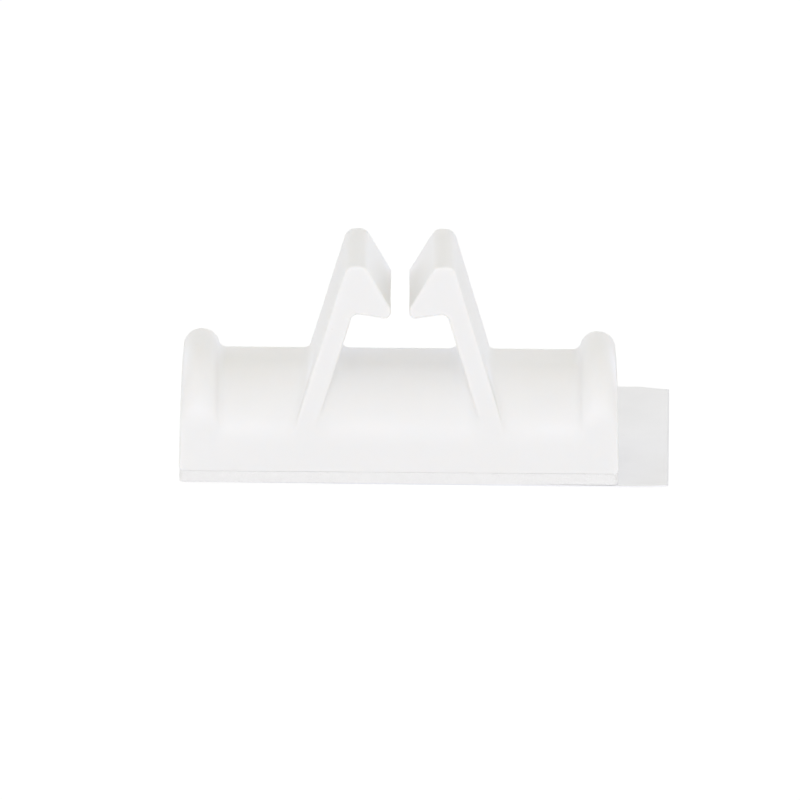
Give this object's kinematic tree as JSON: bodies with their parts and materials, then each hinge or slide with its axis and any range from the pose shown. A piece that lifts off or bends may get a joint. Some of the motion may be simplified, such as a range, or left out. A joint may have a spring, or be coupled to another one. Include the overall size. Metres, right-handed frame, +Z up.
{
  "type": "adhesive cord clip",
  "caption": "Stick-on cord clip: a solid plastic base, rounded over at the front and back, with raised end lips and two inward-leaning hooked arms, on a foam adhesive pad with its release liner.",
  "frame": {"origin": "on the release liner's flat underside, below the middle of the moulding", "axes": "+Z up from the surface the clip sticks to, +Y along the cord, +X along the base towards the liner's pull tab"},
  "size_m": [0.0398, 0.0367, 0.0178],
  "materials": {
    "natural_nylon": "satin, milky translucent",
    "foam_adhesive": "matt closed-cell foam",
    "release_liner": "smooth silicone-coated sheet"
  },
  "bodies": {
    "root": {"clip_body": "natural_nylon", "adhesive_pad": "foam_adhesive", "release_liner": "release_liner"}
  },
  "joints": []
}
